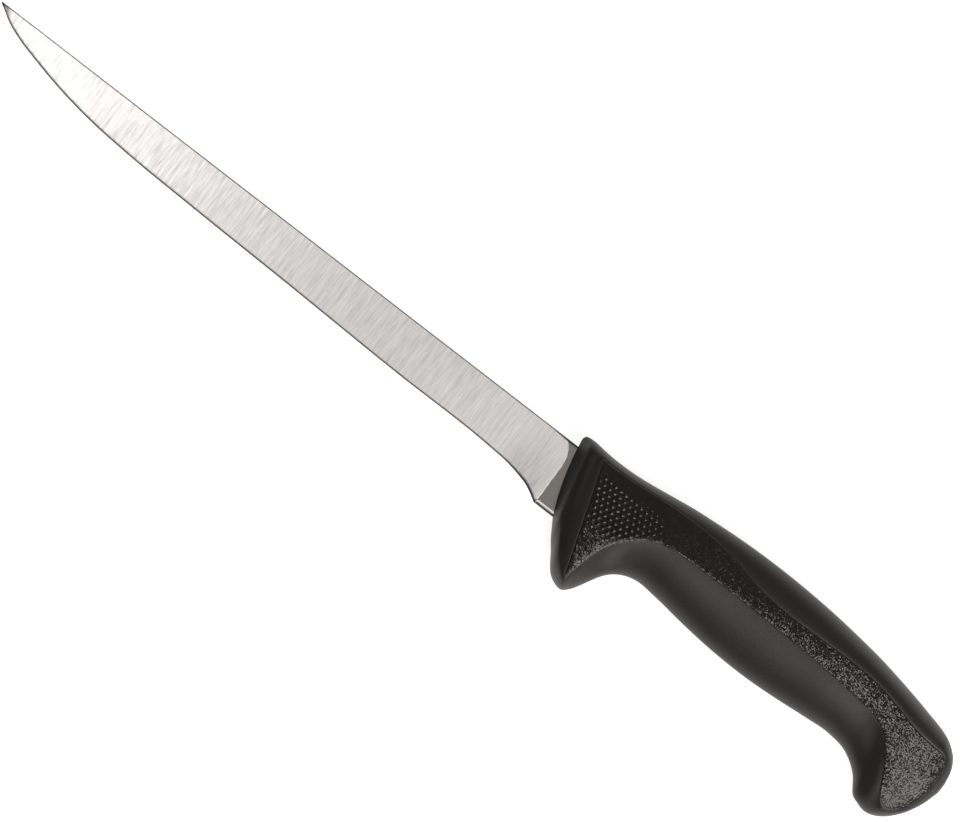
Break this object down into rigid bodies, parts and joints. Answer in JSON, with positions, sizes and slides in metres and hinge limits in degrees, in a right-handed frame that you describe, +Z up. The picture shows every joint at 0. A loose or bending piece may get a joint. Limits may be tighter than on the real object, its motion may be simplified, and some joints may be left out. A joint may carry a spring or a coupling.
{
  "type": "fillet knife",
  "caption": "Flexible fillet knife: narrow ground blade with an upswept tip, and a moulded handle with a finger guard, textured side panels and a hooked butt.",
  "frame": {"origin": "under the middle of the knife, on the surface that it lies on", "axes": "+X along the knife from the tip to the butt, +Y from the cutting edge to the spine, +Z up through the thickness of the blade and handle, with the knife lying on its side"},
  "size_m": [0.3574, 0.0443, 0.0204],
  "materials": {
    "ground_steel": "belt-ground across the blade",
    "hard_panel": "spark-textured, with raised finger points",
    "soft_skin": "satin"
  },
  "bodies": {
    "root": {"blade": "ground_steel", "handle_core": "hard_panel", "soft_grip": "soft_skin"}
  },
  "joints": []
}
